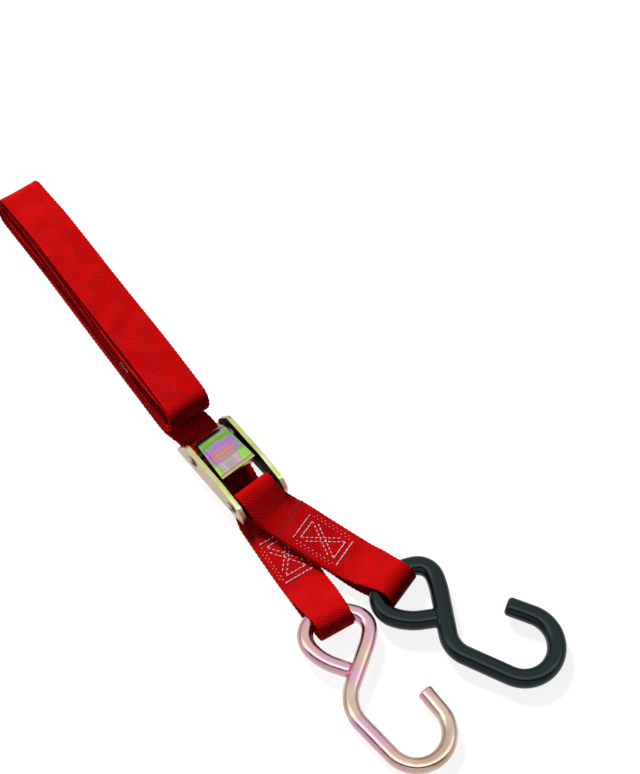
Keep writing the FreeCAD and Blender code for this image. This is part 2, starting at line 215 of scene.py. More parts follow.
def webbing_material():
    """Red woven webbing: staggered rounded picks over warp columns."""
    m = Shader("red_webbing")
    uv = m.node("ShaderNodeUVMap", uv_map="Weave").outputs[0]
    along, across = m.split(uv)[:2]
    along, across = m.math("MULTIPLY", along, 10.0), m.math("MULTIPLY", across, 10.0)
    column = m.math("DIVIDE", across, WARP_PITCH)
    odd = m.math("MULTIPLY", m.math("FLOORED_MODULO", m.math("FLOOR", column), 2.0), 0.5)
    row = m.math("ADD", m.math("DIVIDE", along, PICK_PITCH), odd)
    pick = m.math("ABSOLUTE", m.math("SINE", m.math("MULTIPLY", row, math.pi)))
    pick = m.math("POWER", pick, 0.7)
    warp = m.math("ABSOLUTE", m.math("SINE", m.math("MULTIPLY", column, math.pi)))
    warp = m.math("POWER", warp, 0.45)
    cell = m.math("MULTIPLY", pick, warp)
    place = m.place()
    fuzz = m.noise(place, 2600.0, 2.0)
    drift = m.noise(place, 90.0, 3.0)
    height = m.math("ADD", cell, m.math("MULTIPLY", fuzz, 0.28))
    m.bump(height, 0.17, 0.85)
    # the weave's hollows are painted darker as shade and its crests lighter, over a random drift of
    # tone
    shade = m.math("ADD", m.math("MULTIPLY", cell, 0.62),
                   m.math("ADD", m.math("MULTIPLY", drift, 0.42), m.math("MULTIPLY", fuzz, 0.16)))
    colour = m.ramp(shade, [(0.20, (0.220, 0.0016, 0.0020)), (0.50, (0.420, 0.0024, 0.0028)),
                            (0.95, (0.66, 0.0060, 0.0060))])
    seared = m.node("ShaderNodeAttribute", attribute_name="seared").outputs["Fac"]
    colour = m.mix(seared, colour, (0.055, 0.012, 0.016))
    m.set(Base_Color=colour, Roughness=0.6, Specular_IOR_Level=0.07)
    return m.material


def thread_material():
    """Pale lilac-pink polyester thread with a twist running along each stitch."""
    m = Shader("stitch_thread")
    uv = m.node("ShaderNodeUVMap", uv_map="Weave").outputs[0]
    along, around = m.split(uv)[:2]
    twist = m.math("SINE", m.math("ADD", m.math("MULTIPLY", along, 52.0),
                                  m.math("MULTIPLY", around, 2 * math.pi)))
    m.bump(twist, 0.05, 0.6)
    tint = m.noise(m.place(), 420.0, 2.0)
    colour = m.ramp(tint, [(0.3, (0.62, 0.26, 0.36)), (0.55, (0.78, 0.50, 0.60)),
                           (0.75, (0.86, 0.70, 0.82))])
    m.set(Base_Color=colour, Roughness=0.5, Specular_IOR_Level=0.4, Sheen_Weight=0.15)
    return m.material


def zinc_material(name, stops, scale, rough, facing=None, inner_shade=None):
    """Yellow passivated zinc: a drifting film of colour over steel. facing tints the level faces
    lighter, partly the film's colour and partly a painted highlight; the last argument paints shade
    on the faces turned towards the middle of the buckle, and painted shadow rings round the pins."""
    m = Shader(name)
    place = m.place()
    drift = m.noise(place, scale, 2.5, 0.55)
    colour = m.ramp(drift, stops)
    # level faces: partly the film's yellow-green tint, partly a painted highlight, lighter than the
    # sides
    if facing is not None:
        normal = m.split(m.place("Normal"))
        up = m.math("ABSOLUTE", normal[2])
        share = m.ease(up, 0.35, 0.95)
        tone = m.noise(place, scale * 1.7, 2.0)
        colour = m.mix(share, colour, m.ramp(tone, facing))
    # painted shade: faces turned towards the buckle's middle go near-black and less metallic
    if inner_shade is not None:
        normal, spot = m.split(m.place("Normal")), m.split(place)
        inward_shade = m.math("MULTIPLY", normal[1], m.math("SIGN", spot[1]))
        inward_shade = m.ease(inward_shade, -0.2, -0.9)
        colour = m.mix(inward_shade, colour, inner_shade)
        # a painted shadow ring round each pin head
        for pin in (CAM_PIN, ANCHOR_PIN):
            radius = m.radius_from(place, pin[0] * MM, pin[2] * MM)
            pin_ring_shade = m.ease(radius, 4.4 * MM, 3.7 * MM)
            colour = m.mix(m.math("MULTIPLY", pin_ring_shade, 0.8), colour, (0.20, 0.10, 0.07))
    grain = m.noise(place, 1500.0, 3.0)
    scuff = m.noise(place, 300.0, 4.0, 0.7)
    m.bump(m.math("ADD", grain, m.math("MULTIPLY", scuff, 1.5)), 0.03, 0.35)
    gloss = m.ease(scuff, 0.3, 0.75, rough - 0.06, rough + 0.12)
    if inner_shade is not None:
        m.set(Metallic=m.math("SUBTRACT", 1.0, inward_shade), Specular_IOR_Level=0.1,
              Base_Color=colour, Roughness=m.math("ADD", gloss, m.math("MULTIPLY", inward_shade, 0.3)))
    else:
        m.set(Base_Color=colour, Metallic=1.0, Roughness=gloss)
    return m.material


def pin_material():
    """Staked pin ends: a tan, stained head with a painted shadow crescent; the shaft between is
    dark.
    """
    m = Shader("pin_zinc")
    place = m.place()
    colour = m.ramp(m.noise(place, 400.0, 2.0), [(0.35, (0.50, 0.34, 0.30)),
                                                 (0.6, (0.66, 0.52, 0.36))])
    # a painted shadow crescent on each head's lower front side
    for pin in (CAM_PIN, ANCHOR_PIN):
        near = m.ease(m.radius_from(place, pin[0] * MM, pin[2] * MM), 4.0 * MM, 3.7 * MM)
        lit = m.radius_from(place, (pin[0] - 1.1) * MM, (pin[2] + 1.0) * MM)
        shade = m.ease(lit, 2.1 * MM, 2.7 * MM)
        colour = m.mix(m.math("MULTIPLY", m.math("MULTIPLY", shade, near), 0.9), colour,
                       (0.05, 0.025, 0.03))
    depth = m.math("ABSOLUTE", m.split(place)[1])
    shaft = m.ease(depth, 13.3 * MM, 13.0 * MM)
    colour = m.mix(shaft, colour, (0.05, 0.055, 0.05))
    m.set(Base_Color=colour, Metallic=1.0, Roughness=0.32)
    return m.material


def lever_material():
    """The thumb plate's film: orange middle, violet round it, then green, cream at the lip."""
    m = Shader("lever_zinc")
    place = m.place()
    x, y, z = m.split(place)
    wobble = m.math("MULTIPLY", m.math("SUBTRACT", m.noise(place, 230.0, 2.0), 0.5), 1.1)

    def line_at(distance, width):
        """1 where a distance is nothing, 0 from a width on."""
        share = m.math("DIVIDE", m.math("ABSOLUTE", distance), width)
        return m.math("SUBTRACT", 1.0, m.math("MINIMUM", 1.0, share))

    # rings of film round the plate's middle
    band = m.math("DIVIDE", m.math("SUBTRACT", x, -8.4 * MM), 5.7 * MM)
    wide = m.math("DIVIDE", m.math("ABSOLUTE", y), 9.9 * MM)
    boxed = m.math("POWER", m.math("ADD", m.math("POWER", m.math("ABSOLUTE", band), 3.0),
                                   m.math("POWER", wide, 3.0)), 0.333)
    film = m.ramp(m.math("MULTIPLY", m.math("ADD", boxed, wobble), 0.5), [
        (0.10, (0.70, 0.30, 0.62)), (0.36, (0.62, 0.27, 0.80)), (0.47, (0.60, 0.34, 0.70)),
        (0.54, (0.30, 0.58, 0.20)), (0.66, (0.26, 0.60, 0.11)), (0.86, (0.40, 0.66, 0.15)),
        (1.00, (0.70, 0.66, 0.34))])
    # an orange oval in the middle
    ox = m.math("DIVIDE", m.math("SUBTRACT", x, -6.4 * MM), 2.5 * MM)
    oy = m.math("DIVIDE", m.math("ADD", y, 1.0 * MM), 7.4 * MM)
    core = m.math("ADD", m.math("ADD", m.math("POWER", ox, 2.0), m.math("POWER", oy, 2.0)),
                  m.math("MULTIPLY", wobble, 1.6))
    core = m.ease(core, 1.5, 0.6)
    film = m.mix(m.math("MULTIPLY", core, 0.9), film, (0.80, 0.38, 0.24))
    # a pink patch with green sides along the front
    front = m.ease(x, -3.6 * MM, -2.0 * MM)
    aside = m.math("ADD", m.math("DIVIDE", m.math("ABSOLUTE", m.math("ADD", y, 1.5 * MM)),
                                 7.0 * MM), wobble)
    patch = m.ramp(m.math("MULTIPLY", aside, 0.5), [
        (0.16, (0.68, 0.50, 0.56)), (0.30, (0.84, 0.62, 0.78)), (0.40, (0.76, 0.58, 0.62)),
        (0.48, (0.52, 0.72, 0.30)), (0.60, (0.52, 0.95, 0.13)), (0.80, (0.46, 0.84, 0.18))])
    film = m.mix(m.math("MULTIPLY", front, 0.95), film, patch)
    # a painted shadow line round the raised panel, strongest at the back and on the -y side
    rim = m.math("MAXIMUM",
                 m.math("SUBTRACT", m.math("ABSOLUTE", m.math("ADD", x, 6.6 * MM)), 8.6 * MM),
                 m.math("SUBTRACT", m.math("ABSOLUTE", y), 8.4 * MM))
    behind = m.ease(m.math("ADD", x, y), 2.0 * MM, -8.0 * MM)
    film = m.mix(m.math("MULTIPLY", line_at(rim, 0.26 * MM), m.math("MULTIPLY", behind, 0.8)),
                 film, (0.16, 0.08, 0.12))
    # the folded lip, and before it a painted shadow line for the crease
    film = m.mix(m.ease(x, 3.5 * MM, 3.7 * MM), film, (0.62, 0.56, 0.26))
    crease = line_at(m.math("SUBTRACT", x, 3.6 * MM), 0.32 * MM)
    film = m.mix(m.math("MULTIPLY", crease, 0.85), film, (0.10, 0.08, 0.04))
    # the rolled back painted dark as shade, with a painted violet highlight on one corner
    back = m.ease(x, (CAM_PIN[0] - 1.8) * MM, (CAM_PIN[0] - 2.8) * MM)
    beyond = m.ease(y, 5.5 * MM, 6.5 * MM)
    film = m.mix(back, film, m.mix(beyond, (0.022, 0.032, 0.030), (0.50, 0.38, 0.60)))
    # plain tan below the plate
    lower = m.ease(z, 19.0 * MM, 18.0 * MM)
    film = m.mix(m.math("MULTIPLY", lower, 0.8), film, (0.70, 0.58, 0.34))
    grain = m.noise(place, 1400.0, 3.0)
    m.bump(grain, 0.03, 0.35)
    m.set(Base_Color=film, Metallic=1.0, Roughness=0.30)
    return m.material


def vinyl_material():
    """Black dipped vinyl: soft gloss, faint orange peel."""
    m = Shader("dipped_vinyl")
    place = m.place()
    peel = m.noise(place, 420.0, 3.0)
    soft = m.noise(place, 70.0, 2.0)
    m.bump(m.math("ADD", peel, m.math("MULTIPLY", soft, 2.0)), 0.06, 0.45)
    tint = m.ramp(soft, [(0.3, (0.0020, 0.0036, 0.0040)), (0.7, (0.0035, 0.0062, 0.0068))])
    m.set(Base_Color=tint, Roughness=m.ease(peel, 0.3, 0.7, 0.18, 0.26),
          Specular_IOR_Level=0.50, Specular_Tint=(0.70, 0.95, 1.0, 1.0))
    return m.material


def steel_material(name, colour, rough):
    """Bare steel with a fine, darker grain."""
    m = Shader(name)
    place = m.place()
    streak = m.noise(place, 900.0, 4.0, 0.7)
    dark = tuple(c * 0.6 for c in colour)
    m.bump(streak, 0.02, 0.4)
    m.set(Base_Color=m.ramp(streak, [(0.3, dark), (0.65, colour)]), Metallic=1.0,
          Roughness=m.ease(streak, 0.0, 1.0, rough - 0.08, rough + 0.12))
    return m.material


def floor_material():
    """A pale matt floor that glows, so that its far parts are as light as the near ones."""
    m = Shader("studio_floor")
    tone = m.noise(m.place(), 3.0, 2.0)
    m.set(Base_Color=m.ramp(tone, [(0.3, (0.30, 0.30, 0.30)), (0.7, (0.31, 0.31, 0.31))]),
          Roughness=0.9, Specular_IOR_Level=0.1, Emission_Color=(1, 1, 1, 1),
          Emission_Strength=0.86)
    return m.material


PINK = (0.93, 0.58, 0.54)
CREAM = (0.92, 0.74, 0.58)
LILAC = (0.91, 0.53, 0.72)
LIME = (0.74, 0.80, 0.40)
TAN = (0.78, 0.54, 0.42)

webbing = webbing_material()
thread = thread_material()
hook_zinc = zinc_material("hook_zinc", [(0.35, TAN), (0.42, CREAM), (0.48, PINK), (0.56, LILAC),
                                        (0.66, PINK), (0.76, LIME)], 26.0, 0.19)
# level faces carry a painted highlight; inner faces and rings round the pins a painted shade
frame_zinc = zinc_material(
    "frame_zinc",
    [(0.32, (0.84, 0.58, 0.50)), (0.50, (0.78, 0.60, 0.44)), (0.68, (0.68, 0.58, 0.38))],
    45.0, 0.34,
    facing=[(0.35, (0.66, 0.74, 0.20)), (0.5, (0.84, 0.86, 0.34)), (0.65, (0.92, 0.90, 0.60))],
    inner_shade=(0.012, 0.018, 0.018))
pin_zinc = pin_material()
lever_zinc = lever_material()
vinyl = vinyl_material()
spring_steel = steel_material("spring_steel", (0.42, 0.40, 0.38), 0.32)
core_steel = steel_material("core_steel", (0.50, 0.48, 0.46), 0.40)


def dress(obj, material):
    """Gives an object one material."""
    obj.data.materials.clear()
    obj.data.materials.append(material)
    return obj


# ================================================================ webbing as a ribbon
def resample(rows, step):
    """Rows of x, y, z, yaw and half width, at equal steps along the line."""
    rows = np.asarray(rows, float)
    gaps = np.linalg.norm(np.diff(rows[:, :3], axis=0), axis=1)
    rows = rows[np.r_[True, gaps > 1e-6]]
    gaps = gaps[gaps > 1e-6]
    distance = np.r_[0.0, np.cumsum(gaps)]
    at = np.linspace(0, distance[-1], int(round(distance[-1] / step)) + 1)
    return at, np.stack([np.interp(at, distance, rows[:, k]) for k in range(rows.shape[1])], 1)


def soften(rows, window):
    """A moving average along the line that keeps its two ends."""
    pad = window // 2
    longer = np.vstack([2 * rows[0] - rows[pad:0:-1], rows, 2 * rows[-1] - rows[-2:-pad - 2:-1]])
    kernel = np.hanning(2 * pad + 3)[1:-1]
    kernel /= kernel.sum()
    return np.stack([np.convolve(longer[:, k], kernel, "valid") for k in range(rows.shape[1])], 1)


class Ribbon:
    """A strap: its middle line, its width direction and its normal at every step."""

    def __init__(self, rows):
        rows = resample(rows, STEP)[1]
        self.s, rows = resample(soften(rows, 7), STEP)
        self.middle = rows[:, :3]
        self.half = rows[:, 4]
        ahead = np.gradient(self.middle, axis=0)
        ahead /= np.linalg.norm(ahead, axis=1, keepdims=True)
        yaw = np.radians(rows[:, 3])
        side = np.stack([-np.sin(yaw), np.cos(yaw), 0 * yaw], 1)
        side -= ahead * np.sum(side * ahead, 1, keepdims=True)
        self.side = side / np.linalg.norm(side, axis=1, keepdims=True)
        self.ahead = ahead
        self.up = np.cross(ahead, self.side)

    @property
    def length(self):
        return self.s[-1]

    def at(self, s, w, face):
        """A point on one face (1 or -1), with the directions along, across and outward there."""
        def pick(values):
            return np.array([np.interp(s, self.s, values[:, k]) for k in range(3)])
        along, across, up = pick(self.ahead), pick(self.side), pick(self.up) * face
        up /= np.linalg.norm(up)
        return pick(self.middle) + across * w + up * WEB_T / 2, along, across, up

    def station(self, x, near_z):
        """The distance along the strap where it passes x closest to a height."""
        cost = np.abs(self.middle[:, 0] - x) + 3 * np.abs(self.middle[:, 2] - near_z)
        return self.s[int(np.argmin(cost))]

    def mesh(self, name):
        """Rounded edges with selvedge loops along them, flat faces between, seared cut ends."""
        edge = WEB_T / 2
        flat = np.linspace(-1, 1, 11)
        turn = np.radians([60, 30, 0, -30, -60])
        points, uvs, seared = [], [], []
        for i, s in enumerate(self.s):
            inner = self.half[i] - edge
            waves = [math.cos(2 * math.pi * (s / BEAD + phase)) for phase in (0.0, 0.37)]
            loops = [0.15 * wave for wave in waves]
            swell = [1 + 0.10 * wave for wave in waves]
            ring = [(w * inner, edge) for w in flat]
            ring += [(inner + (edge * math.cos(t) + loops[0] * math.cos(t) ** 2),
                      edge * math.sin(t) * swell[0]) for t in turn]
            ring += [(-w * inner, -edge) for w in flat]
            ring += [(-inner - (edge * math.cos(t) + loops[1] * math.cos(t) ** 2),
                      -edge * math.sin(t) * swell[1]) for t in turn]
            wavy = 0.045 * math.sin(s / 4.1) + 0.035 * math.sin(s / 2.3 + 1.0)
            for w, h in ring:
                points.append(self.middle[i] + self.side[i] * w + self.up[i] * (h + wavy * w / 12))
                uvs.append((s / 10, w / 10))
            close = min(s, self.length - s)
            seared += [max(0.0, 1 - close / 1.7)] * len(ring)
        around = 2 * len(flat) + 2 * len(turn)
        obj = new_object(name, points, ring_faces(len(self.s), around), uv=uvs)
        layer = obj.data.attributes.new("seared", "FLOAT", "POINT")
        layer.data.foreach_set("value", np.array(seared, np.float32))
        return dress(obj, webbing)


def arc(cx, cz, radius, start, end, squeeze=1.0):
    """Points (x, z) of an arc, in degrees."""
    angles = np.radians(np.linspace(start, end, max(4, int(abs(end - start) / 6))))
    return [(cx + squeeze * radius * math.cos(a), cz + radius * math.sin(a)) for a in angles]


def along_plan(side_path, plan):
    """Lifts a side path (x, z) onto a plan table of x, y, yaw and half width."""
    plan = np.asarray(plan, float)
    rows = []
    for x, z in side_path:
        y, yaw, half = (np.interp(x, plan[:, 0], plan[:, k]) for k in (1, 2, 3))
        rows.append((x, y, z, yaw, half))
    return rows


# ---------------------------------------------------------------- short fixed strap
# each plan gives a strap's y, yaw and half width at places along x
ANCHOR_PLAN = [(10, 0.3, 0, 11.5), (18.5, 0.2, 0, 11.5), (25, 0.1, 2, 11.5),
               (28.5, 0.4, 6, 11.4), (31, 1.0, 9, 11.4), (34, 2.3, 12, 11.9),
               (38, 3.9, 15, 12.5), (46.7, 6.5, 16.5, 12.7), (80, 16.4, 16.5, 12.7),
               (93, 20.4, 16, 12.0), (103.3, 23.2, 15.5, 10.5), (122, 28.6, 15, 10.3)]
COATED_BAR_X, COATED_LOOP_R = 103.3, 7.7


def anchor_ribbon():
    """One strap: tail in the pack's middle, round the pin, back below, round the hook's bar,
    and on top to its cut end."""
    pin_x, pin_z, pin_r = ANCHOR_PIN[0], ANCHOR_PIN[2], 4.05
    turn_x = COATED_BAR_X + 3.1
    path = [(80.5, 5.25), (76, 5.35), (60, 5.62), (48, 6.15), (40, 6.75), (35, 8.2), (29, 11.2),
            (23.5, 13.9)]
    path += arc(pin_x, pin_z, pin_r, 78, 265)
    path += [(24, 6.3), (30, 5.6), (36, 5.25), (48, 4.7), (60, 4.2), (76, 3.9), (80, 3.3),
             (84, 1.9), (88, 0.95), (93, 0.72), (99, 0.70)]
    path += arc(turn_x, 8.4, COATED_LOOP_R, -90, 112, 0.97)
    path += [(99, 13.2), (94, 10.9), (89.5, 8.9), (86, 7.7), (82, 7.0), (76, 6.72), (60, 7.0),
             (48, 7.55), (41.9, 7.9)]
    return Ribbon(along_plan(path, ANCHOR_PLAN))


# ---------------------------------------------------------------- adjusting strap
LONG_PLAN = [(-36, -0.8, -3.0, 12.1), (-30, -0.2, -1.5, 12.0), (-14, -0.1, 0, 12.1),
             (2, -1.0, -3, 11.4), (8, -1.6, -6, 10.7), (12, -1.8, -6, 10.6),
             (16, -2.1, -7.5, 10.5), (20, -3.0, -9, 11.0), (30, -5.5, -9, 12.6),
             (45, -7.2, -6.5, 12.7), (60, -8.8, -6, 12.7), (72, -10.4, -6, 12.3),
             (82, -11.7, -6, 11.9), (92, -12.7, -7, 11.3), (98.2, -13.6, -8.5, 10.5),
             (110, -15.5, -9.5, 9.8)]
PLATED_BAR_X, PLATED_LOOP_R = 98.2, 7.0
BUNDLE_YAW, BUNDLE_LEAN, BUNDLE_H = -3.6, 4.5, 20.0
NEAR_X, NEAR_Y = -39.5, -2.2
NEAR_TURN, FAR_TURN = -47.75, -219.0
# heights of the coil's runs from the near turn (0) to the far turn (1), outermost first
LOW_1 = [(0, 0.7), (1, 0.7)]
TOP_1 = [(0, 19.3), (0.3, 19.15), (0.6, 19.3), (0.82, 18.9), (1, 16.8)]
TOP_2 = [(0, 16.8), (0.12, 15.7), (0.28, 15.1), (0.5, 15.8), (0.7, 17.0), (0.88, 16.6), (1, 15.0)]
TOP_3 = [(0.0, 10.6), (0.22, 10.6), (0.3, 10.6), (0.5, 11.0), (0.7, 12.6), (0.88, 13.2), (1, 12.2)]
LOW_3 = [(0, 6.2), (0.12, 6.4), (0.26, 7.0), (0.5, 8.4), (0.7, 7.4), (0.88, 5.8), (1, 6.4)]
LOW_2 = [(0, 4.2), (0.12, 3.3), (0.3, 2.5), (0.5, 2.35), (0.7, 2.3), (0.88, 2.6), (1, 3.4)]
HEM_X, HEM_BACK = -82.5, -94.0


def run(table, x_from, x_to):
    """A run of the coil between two places, with its height eased through a table."""
    out = []
    for x in np.linspace(x_from, x_to, 60):
        t = (NEAR_TURN - x) / (NEAR_TURN - FAR_TURN)
        t = min(max(t, 0.0), 1.0)
        k = max(i for i, (place, _) in enumerate(table[:-1]) if t >= place - 1e-9)
        (t0, z0), (t1, z1) = table[k], table[k + 1]
        u = (t - t0) / (t1 - t0)
        out.append((x, z0 + (z1 - z0) * u * u * (3 - 2 * u)))
    return out


def coil_rows():
    """The coil from the buckle side inwards, as rows of the ribbon."""
    path = run(LOW_1, -52, FAR_TURN)
    path += arc(FAR_TURN, 8.75, 8.05, -90, -270)
    path += run(TOP_1, FAR_TURN, NEAR_TURN)
    path += arc(NEAR_TURN, 11.75, 7.55, 90, -90)
    path += run(LOW_2, NEAR_TURN, FAR_TURN)
    path += arc(FAR_TURN - 0.1, 9.2, 5.8, -90, -270)
    path += run(TOP_2, FAR_TURN, NEAR_TURN)
    path += arc(NEAR_TURN + 0.2, 11.5, 5.3, 90, -90)
    path += run(LOW_3, NEAR_TURN, FAR_TURN)
    path += arc(FAR_TURN - 0.9, 9.3, 2.9, -90, -270)
    path += run(TOP_3, FAR_TURN, HEM_X)
    path += arc(HEM_X, 9.88, 0.72, 90, -90)
    path += [(HEM_X - 3, 9.15), (HEM_BACK, 9.15)]
    yaw = math.radians(BUNDLE_YAW)
    rows, gone, last = [], 0.0, path[0]
    for x, z in path:
        gone += math.hypot(x - last[0], z - last[1])
        last = (x, z)
        settle = min(1.0, gone / 150)
        wander = settle * (0.35 * math.sin(gone / 41.0) + 0.22 * math.sin(gone / 17.0 + 1.0))
        y = BUNDLE_LEAN * z / BUNDLE_H + wander
        dx = x - NEAR_X
        rows.append((NEAR_X + dx * math.cos(yaw) - y * math.sin(yaw),
                     NEAR_Y + dx * math.sin(yaw) + y * math.cos(yaw), z, BUNDLE_YAW, WEB_HALF))
    return rows


def long_ribbon():
    """One strap: cut end over the hook's loop, along the floor, through the buckle, coil."""
    turn_x = PLATED_BAR_X + 3.1
    path = [(38, 2.12), (60, 2.12), (72, 2.2), (76.5, 3.1), (81, 5.1), (88, 8.9)]
    path += arc(turn_x, 7.7, PLATED_LOOP_R, 114, -90, 0.99)
    path += [(92, 0.7), (60, 0.7), (30, 0.7), (14.5, 0.7), (11.5, 1.1), (6.5, 3.1), (3.5, 3.62),
             (-10, 3.62), (-36, 3.62)]
    rows = along_plan(path, LONG_PLAN)
    rows += [(-40.5, -1.5, 3.35, -2.4, 12.5), (-44.5, -1.85, 2.1, -3.2, 12.6)]
    return Ribbon(rows + coil_rows())


fixed_line = anchor_ribbon()
fixed_strap = fixed_line.mesh("fixed_webbing")
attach(fixed_strap, "fixed_strap")
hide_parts("anchor_strap")

long_line = long_ribbon()
long_strap = long_line.mesh("adjusting_webbing")
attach(long_strap, "adjusting_strap")
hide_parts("long_strap")


# ================================================================ stitching
def stitch_mesh(name, stitches):
    """Each stitch is (start, end, outward, width): a plump thread that dips in at both ends."""
    around, rings = 8, 7
    points, faces, uvs = [], [], []
    for start, end, outward, width in stitches:
        start, end, outward = (np.asarray(v, float) for v in (start, end, outward))
        along = end - start
        side = np.cross(outward, along)
        side /= np.linalg.norm(side)
        first = len(points)
        for i in range(rings):
            t = i / (rings - 1)
            plump = math.sqrt(max(1 - (2 * t - 1) ** 4, 0.06))
            lift = 0.30 * width * (1 - (2 * t - 1) ** 2) - 0.12 * width
            centre = start + along * t + outward * lift
            for j in range(around):
                a = 2 * math.pi * j / around
                points.append(centre + side * (width / 2 * plump * math.cos(a))
                              + outward * (width * 0.42 * plump * math.sin(a)))
                uvs.append((t, j / around))
        faces += ring_faces(rings, around, first=first)
    return dress(new_object(name, points, faces, uv=uvs), thread)


def stitched(line, face, s0, sign, runs, seed):
    """Stitches along straight runs (u, w) to (u, w) on one face of a strap."""
    rng = np.random.default_rng(seed)
    out = []
    for (u0, w0), (u1, w1), pitch, length, width in runs:
        reach = math.hypot(u1 - u0, w1 - w0)
        count = max(1, int(round(reach / pitch)))
        for k in range(count):
            mid = (k + 0.5) / count
            half = length / 2 / reach
            ends = []
            for t in (mid - half, mid + half):
                jog = rng.normal(0, 0.05)
                u, w = u0 + (u1 - u0) * t, w0 + (w1 - w0) * t + jog
                ends.append(line.at(s0 + sign * u, w, face))
            up = ends[0][3] + ends[1][3]
            out.append((ends[0][0], ends[1][0], up / np.linalg.norm(up), width))
    return out


def box_x(length, reach):
    """Two end rows, doubled diagonals that meet them, and small bites along the long sides."""
    inset, gap = 3.3, 3.1
    near, far = inset, length - inset
    inner = reach - 2.6
    bold, fine = (2.5, 2.42, 0.78), (2.5, 1.85, 0.66)
    runs = [((0, -reach), (0, reach), *bold), ((length, -reach), (length, reach), *bold),
            ((near, -inner), (near, inner), *bold), ((far, -inner), (far, inner), *bold)]
    for side in (-1, 1):
        runs += [((near, side * inner), (far - gap, -side * (inner + 0.6)), *fine),
                 ((near + gap, side * (inner + 0.6)), (far, -side * inner), *fine)]
        edge, outer = side * reach, side * (reach + 1.5)
        runs += [((1.2, edge), (length - 1.2, edge), 2.5, 0.9, 0.42),
                 ((2.4, outer), (length - 2.4, outer), 2.5, 0.75, 0.38)]
    return runs


def sewn(name, line, start_x, top_z, bottom_z, length, reach, body, node, seed):
    """Box-X stitching on the top and the underside of a sewn pack."""
    runs = box_x(length, reach)
    stitches = []
    for z, wanted in ((top_z, 1), (bottom_z, -1)):
        s0 = line.station(start_x, z)
        index = int(np.argmin(np.abs(line.s - s0)))
        sign = 1 if line.ahead[index][0] > 0 else -1
        face = 1 if line.up[index][2] * wanted > 0 else -1
        sunk = 0.0 if wanted > 0 else 0.36       # pressed into the underside
        stitches += [(a - up * sunk, b - up * sunk, up, width)
                     for a, b, up, width in stitched(line, face, s0, sign, runs, seed)]
    obj = stitch_mesh(name, stitches)
    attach(obj, body)
    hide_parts(node)
    return obj


sewn("fixed_strap_thread", fixed_line, 50.2, 7.4, 4.6, 28.0, 8.3, "fixed_strap",
     "anchor_strap_stitching", 3)
sewn("adjusting_strap_thread", long_line, 43.8, 2.12, 0.7, 26.5, 8.8, "adjusting_strap",
     "long_strap_stitching", 4)


def tail_hem():
    """Cross rows through the folded tail, and the threads that wrap its edge."""
    near = long_line.length - (HEM_X - HEM_BACK) - 2.3
    stitches = []
    for offset in (4.0, 7.6):
        for face, s0, sign in ((1, near, -1), (-1, near, -1)):
            runs = [((offset, -11.8), (offset, 11.8), 2.6, 2.2, 0.7)]
            stitches += stitched(long_line, face, s0, sign, runs, 5)
    for k in range(6):
        s = near - 1.2 - 1.35 * k
        point, along, across, up = long_line.at(s, -WEB_HALF - 0.2, 1)
        low = point - up * 1.25
        tilt = along * (0.8 if k % 2 else 0.3)
        stitches.append((point + tilt * 0.6, low - tilt * 0.6, -across, 0.8))
    obj = stitch_mesh("tail_thread", stitches)
    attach(obj, "adjusting_strap")
    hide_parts("tail_stitching")


tail_hem()

# ================================================================ hooks
# legs of a flat path: an arc has degrees and a radius, and a line has a length
EYE = [("arc", -27, 32), ("arc", -100, 11.4), ("arc", -54, 25), ("arc", -78, 9.5),
       ("arc", -11, 48), ("line", 12.5)]
EYE_START = 232.0
BAR_APEX = -34.4          # the eye's far bar, from the point where the eye closes
FLOOR_REST = 62.0         # where the hook's bow lies on the floor, from the same point
STEEL_R, COAT_R = 4.3, 5.2
TRACE_STEP = 0.7          # spacing of the points along a hook
# butt is the straight run at the eye's cut end and tip the one at the open end
PLATED = {"at": (131.3, -21.2), "yaw": -21.0, "bar_z": 7.3, "tip": 14.0, "butt": 6.6,
          "bends": [("line", 7.5), ("arc", 63, 20.5), ("line", 22), ("arc", 175, 17.3)]}
COATED = {"at": (137.0, 33.8), "yaw": 7.5, "bar_z": 7.95, "tip": 15.0, "butt": 6.4,
          "bends": [("line", 11), ("arc", 56, 15), ("line", 25.3), ("arc", 184, 17.9)]}


def trace(legs, heading):
    """Dense points and headings of a flat path of straight legs and arcs."""
    points, headings = [np.zeros(2)], [heading]
    for leg in legs:
        here, facing = points[-1], math.radians(headings[-1])
        if leg[0] == "line":
            count = max(2, int(leg[1] / TRACE_STEP))
            way = np.array([math.cos(facing), math.sin(facing)])
            for k in range(1, count + 1):
                points.append(here + k / count * leg[1] * way)
                headings.append(math.degrees(facing))
            continue
        turn, radius = math.radians(leg[1]), leg[2]
        count = max(4, int(abs(turn) * radius / TRACE_STEP))
        way = math.copysign(1, turn)
        centre = here + radius * way * np.array([-math.sin(facing), math.cos(facing)])
        for k in range(1, count + 1):
            angle = facing + turn * k / count
            points.append(centre - radius * way * np.array([-math.sin(angle), math.cos(angle)]))
            headings.append(math.degrees(angle))
    return np.array(points), np.array(headings)


